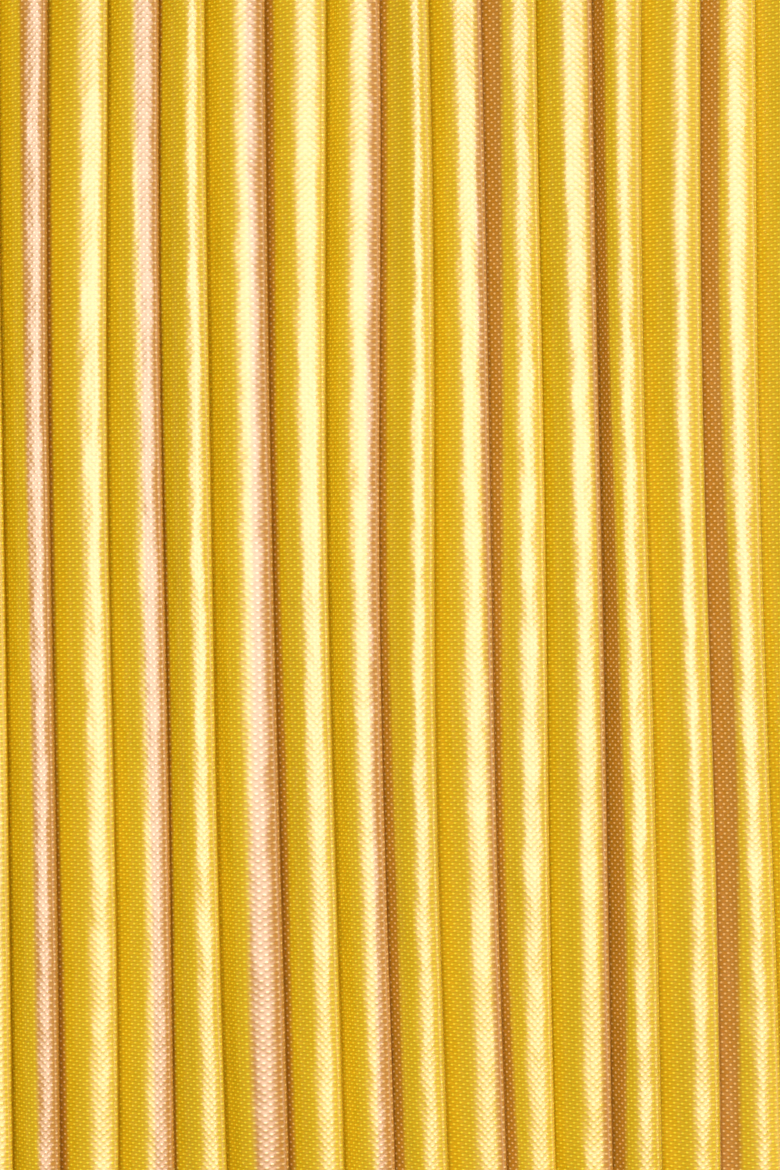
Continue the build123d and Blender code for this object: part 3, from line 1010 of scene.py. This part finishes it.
class BELT_OT_tails(bpy.types.Operator):
    """Make the two pleated tails, from their gathered necks inside the knot to their hems"""

    bl_idname = "belt.make_tails"
    bl_label = "Make tails"

    def execute(self, context):
        z = np.linspace(SWAY_Z + 3, TAIL_BOTTOM - HEM_RISE, 96)
        along = z[0] - z
        for side, sign, seed in (("right", 1, 11), ("left", -1, 12)):
            section = Pleats(settings()[0], along, 20, TAIL_WIDTH, seed)
            name = f"{side}_tail_pleats"
            grid, cloth = tail_grid(section, z, sign), section.map_places(along)
            GRIDS[name] = grid if sign > 0 else grid[:, ::-1]
            face = cloth_shell(name, grid, cloth, MATERIALS["satin"], mirrored=sign < 0)
            finish_piece(face, None, "sash_satin", f"{side}_tail_face", f"{side}_tail_neck")
            bend_hanging(face)
            lay_sheet(section.flat_width)
            lining = self.lining(side, sign)
            finish_piece(lining, f"{side}_tail", "lining", f"{side}_tail_lining")
            lay_sheet(TAIL_WIDTH)
        return {"FINISHED"}

    def lining(self, side, sign):
        """The tail's lining: it follows the back of the pleats, with shallow slanting waves."""
        z = np.linspace(TAIL_TOP - 3, TAIL_BOTTOM - HEM_RISE, 70)[:, None]
        inner, outer = tail_edges(z)
        share = np.linspace(0.006, 0.994, 30)[None, :]
        gathered = np.clip(1 - (outer - inner) / TAIL_WIDTH, 0, 1)
        x = inner + share * (outer - inner)
        waves = np.sin(share * 2 * pi * 9) * (0.15 + 1.2 * gathered**2) + 0.25 * np.sin(z / 17 + share * 5)
        points = merged(x * sign, TAIL_Y + 1.35 + 3.0 * gathered**1.5 + 0.35 * waves, z)
        cloth = merged(share * TAIL_WIDTH, z[0] - z)
        name = f"{side}_tail_lining_satin"
        return cloth_shell(name, points, cloth, MATERIALS["lining"], LINING_SHELL, mirrored=sign > 0)


class BELT_OT_fringes(bpy.types.Operator):
    """Make the woven headings and the twisted strands of the fringes"""

    bl_idname = "belt.make_fringes"
    bl_label = "Make fringes"

    def execute(self, context):
        for side, seed in (("right", 21), ("left", 22)):
            finish_piece(self.heading(side), f"{side}_tail", "trim", f"{side}_fringe_heading")
            strands = self.strands(side, seed)
            finish_piece(strands, None, "fringe", f"{side}_fringe")
            bend_hanging(strands)
        return {"FINISHED"}

    def heading(self, side):
        """A flat braid: a rounded section carried along the hem, whose two faces bulge in a row of
        chevrons."""
        middle, half = node_middle(f"{side}_fringe_heading")
        share = np.linspace(-1, 1, 181)[:, None]
        along = middle[0] + half[0] * share
        angle = np.arange(28) * 2 * pi / 28
        fold = np.abs((along / CHEVRON) % 1 - 0.5)
        ridge = 1 + 0.06 * np.cos(2 * pi * (along * 2 / CHEVRON + np.sin(angle) * 0.9 * np.sign(fold - 0.25)))
        end = np.sqrt(np.clip(1 - np.abs(share) ** 60, 0.01, 1))
        y = middle[1] + half[1] * 0.94 * np.sign(np.cos(angle)) * np.abs(np.cos(angle)) ** 0.7 * ridge * end
        z = middle[2] + half[2] * np.sign(np.sin(angle)) * np.abs(np.sin(angle)) ** 0.55 * (0.96 + 0.04 * end)
        points = merged(along, y, z)
        return closed_rings(f"{side}_heading_braid", points, np.linspace(0, 18, 29), along, MATERIALS["braid"])

    def strands(self, side, seed):
        """Twisted strands in two rows, sewn into the heading, each with a slight lean and curve of its own."""
        low, high = node_box(f"{side}_fringe")
        rng = np.random.default_rng(seed)
        places = np.linspace(low[0] + 0.8, high[0] - 0.8, FRINGE_SPACES)
        x = np.concatenate([places, places[:-1] + (places[1] - places[0]) / 2])
        y = np.repeat([TAIL_Y - 0.62, TAIL_Y + 0.62], [FRINGE_SPACES, FRINGE_SPACES - 1])
        total = len(x)
        down = np.linspace(0, 1, 11)
        top = FRINGE_Z + 2.2
        length = top - low[2] - rng.uniform(0, 2.0, total)
        lean = rng.normal(0, 0.55, (total, 2))
        curve = rng.normal(0, 0.3, (total, 2))
        sway = lean[:, None, :] * (down**2)[:, None] + curve[:, None, :] * np.sin(down * 2 * pi)[:, None]
        centres = merged(x[:, None] + sway[..., 0], y[:, None] + 0.35 * sway[..., 1], top - length[:, None] * down)
        radii = 0.68 * np.sqrt(np.clip(1.02 - down**14, 0.05, 1)) * np.ones((total, 1))
        return closed_tubes(f"{side}_fringe_strands", centres, radii, 6, MATERIALS["fringe"])


class BELT_OT_knot(bpy.types.Operator):
    """Make the pleated cloth wrapped round the knot, and the wadding in it"""

    bl_idname = "belt.make_knot"
    bl_label = "Make knot"

    def execute(self, context):
        middle, half = node_middle("knot_wrap")
        around = np.linspace(0, 1, 120)
        along = around * WRAP_LENGTH
        section = Pleats(settings()[0], along, 14, 2 * half[0], seed=31, lift=WRAP_LIFT, hem=0.6)
        points = self.wrap(section, around[:, None], middle, half)
        wrap = cloth_shell("knot_sash_wrap", points, section.map_places(along), MATERIALS["satin"])
        finish_piece(wrap, "waistband", "sash_satin", "knot_wrap")
        lay_sheet(section.flat_width)
        wadding = self.wadding()
        finish_piece(wadding, "waistband", "padding", "knot_core")
        return {"FINISHED"}

    def wadding(self):
        """The wadding that fills the knot: rings across it, whose radii shrink towards both ends, dimpled
        by a small product of sines."""
        middle, half = node_middle("knot_core")
        half = half - 1.5
        share = np.sin(np.linspace(-1, 1, 41) * pi / 2 * 0.985)[:, None]
        angle = (np.arange(48) * 2 * pi / 48)[None, :]
        size = np.sqrt(1 - np.abs(share) ** 6) * (1 + 0.012 * np.sin(9 * share) * np.sin(5 * angle))
        points = merged(share * half[0], np.cos(angle) * size * half[1], np.sin(angle) * size * half[2]) + middle
        return closed_rings("knot_wadding", points, np.linspace(0, 150, 49), share * half[0], MATERIALS["wadding"])

    def wrap(self, section, around, middle, half):
        """The wrap's grid. Round the knot it runs down inside the mouth that the tails hang from, over
        the front, the top and the back, and up into the mouth again: an ellipse whose two ends turn in.
        Across, the ellipse shrinks towards both sides, where the pleats draw together in puckers."""
        share = np.clip(section.across * 2 - 1, -0.9995, 0.9995)
        reach = np.abs(share)
        size = np.sqrt(1 - reach**10)
        open_mouth = 1 - smooth_step(0.84, 0.93, reach)
        first = radians(MOUTH_MIDDLE) + radians(MOUTH_FRONT - MOUTH_MIDDLE) * open_mouth
        last = radians(MOUTH_MIDDLE + 360) + radians(MOUTH_BACK - MOUTH_MIDDLE) * open_mouth
        place = np.clip((around - MOUTH_SHARE) / (1 - 2 * MOUTH_SHARE), 0, 1)
        angle = first + (last - first) * place
        depth, height = half[1] - 2.0, half[2] - 2.0
        fold = 1 + (0.03 * np.sin(5.5 * share + 2 * angle + 0.5) + 0.018 * np.sin(9 * share - angle)) * size
        y, z = -np.sin(angle) * depth, -np.cos(angle) * height
        out_y, out_z = y / depth**2, z / height**2
        inside = np.clip(1 - around / MOUTH_SHARE, 0, 1) + np.clip((around - 1) / MOUTH_SHARE + 1, 0, 1)
        z = z + inside * MOUTH_DEPTH
        turned_in = smooth_step(0, 0.35, inside)
        towards = np.where(around < 0.5, 1.0, -1.0) / height
        out_y = out_y * (1 - turned_in) + towards * turned_in
        out = merged(0.0, out_y, out_z * (1 - turned_in))
        out /= np.linalg.norm(out, axis=-1, keepdims=True)
        slope = np.arctan(5 * reach**9 / size * height / half[0])
        out = out * np.cos(slope)[..., None]
        out[..., 0] = np.sin(slope) * np.sign(share)
        lift = (0.3 + section.lift * WRAP_LIFT) * (0.25 + 0.75 * size)
        pucker = 0.9 * np.cos(17 * angle + 3 * share) * smooth_step(0.86, 0.985, reach) * (1 - turned_in)
        x = share * (half[0] - 1.2) + (4.0 * np.sin(angle / 2) ** 2 + 3.0 * np.cos(angle)) * (1 - reach**2)
        points = merged(x, y * size * fold, z * size * fold)
        return points + out * (lift + pucker)[..., None] + middle


def tack_bars():
    """Four bar tacks inside the band: in each, nine stitches stand side by side across a bar."""
    low, high = node_box("knot_bar_tacks")
    bars = []
    for x in (low[0] + 5, high[0] - 5):
        for z in (low[2] + 0.8, high[2] - 0.8):
            across = (x + np.linspace(-4.4, 4.4, 9))[:, None]
            lining = -np.sqrt(FRONT_RADIUS**2 - across**2) - (WAIST_HALF_DEPTH - FRONT_RADIUS)
            up = np.linspace(-0.8, 0.8, 5)
            bow = 0.35 * (1 - (up / 0.8) ** 2)
            centres = merged(across + up * 0.35, lining + 0.1 + bow, z + up[None, :])
            bars.append(closed_tubes("bar_tack", centres, np.full((9, 5), 0.28), 6, MATERIALS["thread"]))
    return join_pieces("knot_tack_stitches", bars)


def end_binding(name, path, at_end):
    """A strip folded over a cut end of the band: along the inside, round the end and back along the
    outside, with soft corners, carried from the top edge to the bottom one."""
    section = [(8.0, -0.1), (8.0, -0.1), (5.0, -0.12), (2.5, -0.14), (0.6, -0.15), (-0.05, 0.1), (-0.25, 0.7)]
    section += [(-0.3, 1.8), (-0.25, 2.9), (-0.05, 3.5), (0.6, 3.75), (2.5, 3.8), (5.0, 3.78), (7.6, 3.72)]
    section += [(8.0, 3.5), (8.0, 3.5)]
    inward, out = smooth_through(section, np.linspace(1, len(section) - 2, 40)).T
    upright = np.linspace(BAND_HEIGHT / 2 + 0.4, -BAND_HEIGHT / 2 - 0.4, 60)[:, None]
    distance = chain_length(path[1]) - inward if at_end else inward
    ripple = 0.1 * np.sin(upright / 2.3) * np.sin(inward / 2)
    middle, outwards = walk(path, distance)
    flat = middle + outwards * (out + ripple * np.sign(out - 1.8))[..., None]
    points, cloth = stood(flat, upright), merged(inward[None, :], upright)
    return cloth_shell(name, points, cloth, MATERIALS["lining"], LINING_SHELL, mirrored=at_end)


class BELT_OT_trimmings(bpy.types.Operator):
    """Make the end bindings, the fastener's hooks and the rows of stitching"""

    bl_idname = "belt.make_trimmings"
    bl_label = "Make trimmings"

    def execute(self, context):
        band, flap = band_path(), flap_path()
        binding = end_binding("underlap_end_fold", band, at_end=False)
        finish_piece(binding, "waistband", "lining", "underlap_end_binding")
        finish_piece(end_binding("flap_end_fold", flap, at_end=True), "flap", "lining", "flap_end_binding")
        finish_piece(tack_bars(), "waistband", "thread", "knot_bar_tacks")
        finish_piece(self.hooks(flap), "flap", "hook_tape")
        begin = FRONT_RADIUS * radians(UNDERLAP_ANGLE - TAPE_ANGLE)
        seam = tape_stitching("loop_tape_stitches", band, begin, BAND_THICKNESS + TAPE_THICKNESS, 1)
        finish_piece(seam, "waistband", "thread")
        begin = flap[1][0][0] * radians(FLAP_ANGLE - TAPE_ANGLE)
        finish_piece(tape_stitching("hook_tape_stitches", flap, begin, -TAPE_THICKNESS, -1), "flap", "thread")
        finish_piece(edge_stitching("waistband_edge_stitches", "waistband_pleats", 14), "waistband", "thread")
        row = edge_stitching("flap_edge_stitches", "flap_pleats", 14)
        finish_piece(row, None, "thread")
        bend_with_flap(row)
        for side in ("left", "right"):
            row = edge_stitching(f"{side}_tail_edge_stitches", f"{side}_tail_pleats", 20, skip=30)
            finish_piece(row, f"{side}_tail", "thread")
        return {"FINISHED"}

    def hooks(self, path):
        """The hook tape's hooks: short bent stalks in staggered rows, each a quarter turn of a circle."""
        low, high = node_box("hook_tape")
        radius = path[1][0][0]
        first = radius * radians(FLAP_ANGLE - TAPE_ANGLE)
        along = np.arange(first + 4, first + radius * radians(TAPE_TURN) - 4, HOOK_SPACING)
        upright = np.arange(low[2] + 4, high[2] - 4, HOOK_ROWS)
        distance = (along[:, None] + HOOK_SPACING / 2 * (np.arange(len(upright)) % 2)).ravel()
        z = np.tile(upright, len(along))[:, None]
        middle, outwards = walk(path, distance)
        bend = np.linspace(0, 0.85 * pi, 4)
        stalk = -TAPE_THICKNESS - 0.34 * np.sin(bend)
        flat = middle[:, None, :] + outwards[:, None, :] * stalk[:, None]
        centres = stood(flat, z + 0.3 * (1 - np.cos(bend)))
        outwards = stood(outwards, np.zeros(len(z)))[:, None, :]
        tangent = outwards[..., [1, 0, 2]] * (-1, 1, 1)
        forward = np.array([0, 0, 1.0]) * np.cos(bend)[:, None] + outwards * np.sin(bend)[:, None]
        across = np.broadcast_to(tangent, centres.shape)
        radii = np.full(centres.shape[:2], 0.11)
        return closed_tubes("hook_tape_hooks", centres, radii, 4, MATERIALS["hook"], across, forward)


class BELT_OT_stage(bpy.types.Operator):
    """Make the floor, the soft lights and the close-up camera"""

    bl_idname = "belt.make_stage"
    bl_label = "Make stage"

    def execute(self, context):
        _, _, stage = settings()
        self.surroundings()
        middle = Vector((0.0437, (TAIL_Y - 1.5) * MM, -0.245))
        camera = bpy.data.cameras.new("close_up")
        camera.lens = stage.lens
        camera.sensor_width = 36.0
        camera.clip_start = 0.01
        distance = stage.lens / camera.sensor_width * stage.close_up_height
        holder = place_object("close_up", camera, middle + Vector((0, -distance, 0)))
        holder.rotation_euler = (pi / 2, 0, 0)
        bpy.context.scene.camera = holder
        key = self.light("key", middle + Vector((-0.04, -1.25, 0.02)), middle, (0.8, 0.7), stage.key_power)
        edge = self.light("fold_edge", middle + Vector((1.09, -0.51, 0.05)), middle, (0.4, 0.8), 3.2)
        self.spare(self.floor(), key, edge)
        belt = Vector((0, 0, -0.1))
        self.light("left_side", (-1.8, 0.35, 1.0), belt, (0.9, 1.2), 22.0)
        self.light("right_side", (1.8, 0.5, 1.0), belt, (0.9, 1.2), 16.0)
        self.light("back", (0.3, 2.1, 1.1), belt, (1.2, 1.0), 34.0)
        overhead = bpy.data.lights.new("overhead", "SUN")
        overhead.energy = 3.4
        overhead.angle = radians(50)
        place_object("overhead", overhead, (0, 0, 1.5))
        return {"FINISHED"}

    def light(self, name, place, target, size, power):
        """A rectangular area light that faces its target."""
        lamp = bpy.data.lights.new(name, "AREA")
        lamp.shape = "RECTANGLE"
        lamp.size, lamp.size_y = size
        lamp.energy = power
        holder = place_object(name, lamp, place)
        holder.rotation_euler = (target - Vector(place)).to_track_quat("-Z", "Y").to_euler()
        return holder

    def spare(self, floor, *lights):
        """Keep the lights that reach down to the floor from falling on it: they light the belt only."""
        spared = bpy.data.collections.new("spared")
        spared.objects.link(floor)
        spared.collection_objects[0].light_linking.link_state = "EXCLUDE"
        for holder in lights:
            holder.light_linking.receiver_collection = spared

    def floor(self):
        """A round pale floor under the belt. It throws no light back up."""
        angle = np.arange(96) * 2 * pi / 96
        plan = merged(FLOOR_RADIUS * np.cos(angle), FLOOR_RADIUS * np.sin(angle))
        points = stood(plan, np.full(96, cad_box[0][2] / MM - FLOOR_DROP))
        material, _ = new_material("pale floor", Roughness=0.8, Base_Color=(0.5, 0.495, 0.485, 1))
        ring = np.arange(96)[None, :]
        floor = make_object("floor", points, [(ring, ring)], plan, material)
        floor.visible_diffuse = False
        floor.visible_glossy = False
        return floor

    def surroundings(self):
        """Plain pale surroundings, which light the belt only faintly."""
        world = bpy.data.worlds.new("studio")
        world.use_nodes = True
        bpy.context.scene.world = world
        w = Wiring(world.node_tree, world.node_tree.nodes["Background"])
        glossy, seen = (w.node("ShaderNodeLightPath", output=f"Is {ray} Ray") for ray in ("Glossy", "Camera"))
        strength = w.ramp(glossy, 0, 1, 0.1, 0.03, smooth=False) + seen * 0.47
        w.give(Color=(0.95, 0.95, 0.96, 1), Strength=strength)
        bpy.context.scene.view_settings.view_transform = "Standard"


class BELT_PT_panel(bpy.types.Panel):
    """The belt's settings and the buttons that make its pieces"""

    bl_idname = "BELT_PT_panel"
    bl_label = "Sash Belt"
    bl_space_type = "VIEW_3D"
    bl_region_type = "UI"
    bl_category = "Sash Belt"

    def draw(self, context):
        for group in settings():
            box = self.layout.box()
            for name in group.bl_rna.properties.keys():
                if name not in ("rna_type", "name"):
                    box.prop(group, name)
        for operator in OPERATORS:
            self.layout.operator(operator.bl_idname)


OPERATORS = (
    BELT_OT_materials,
    BELT_OT_stage,
    BELT_OT_waistband,
    BELT_OT_flap,
    BELT_OT_knot,
    BELT_OT_tails,
    BELT_OT_fringes,
    BELT_OT_trimmings,
)
GROUPS = {"belt_pleats": BELT_PG_pleats, "belt_colours": BELT_PG_colours, "belt_stage": BELT_PG_stage}
CLASSES = (*GROUPS.values(), *OPERATORS, BELT_PT_panel)


def register():
    """Registers the classes and hangs the settings on the scene."""
    for made in CLASSES:
        bpy.utils.register_class(made)
    for name, group in GROUPS.items():
        setattr(bpy.types.Scene, name, bpy.props.PointerProperty(type=group))


def unregister():
    """Takes the settings off the scene and unregisters the classes."""
    for name in GROUPS:
        delattr(bpy.types.Scene, name)
    for made in reversed(CLASSES):
        bpy.utils.unregister_class(made)


def main():
    """Makes the whole belt and its stage."""
    register()
    bpy.ops.belt.make_materials()
    bpy.ops.belt.make_stage()
    bpy.ops.belt.make_waistband()
    bpy.ops.belt.make_flap()
    bpy.ops.belt.make_knot()
    bpy.ops.belt.make_tails()
    bpy.ops.belt.make_fringes()
    bpy.ops.belt.make_trimmings()


if __name__ == "__main__":
    main()
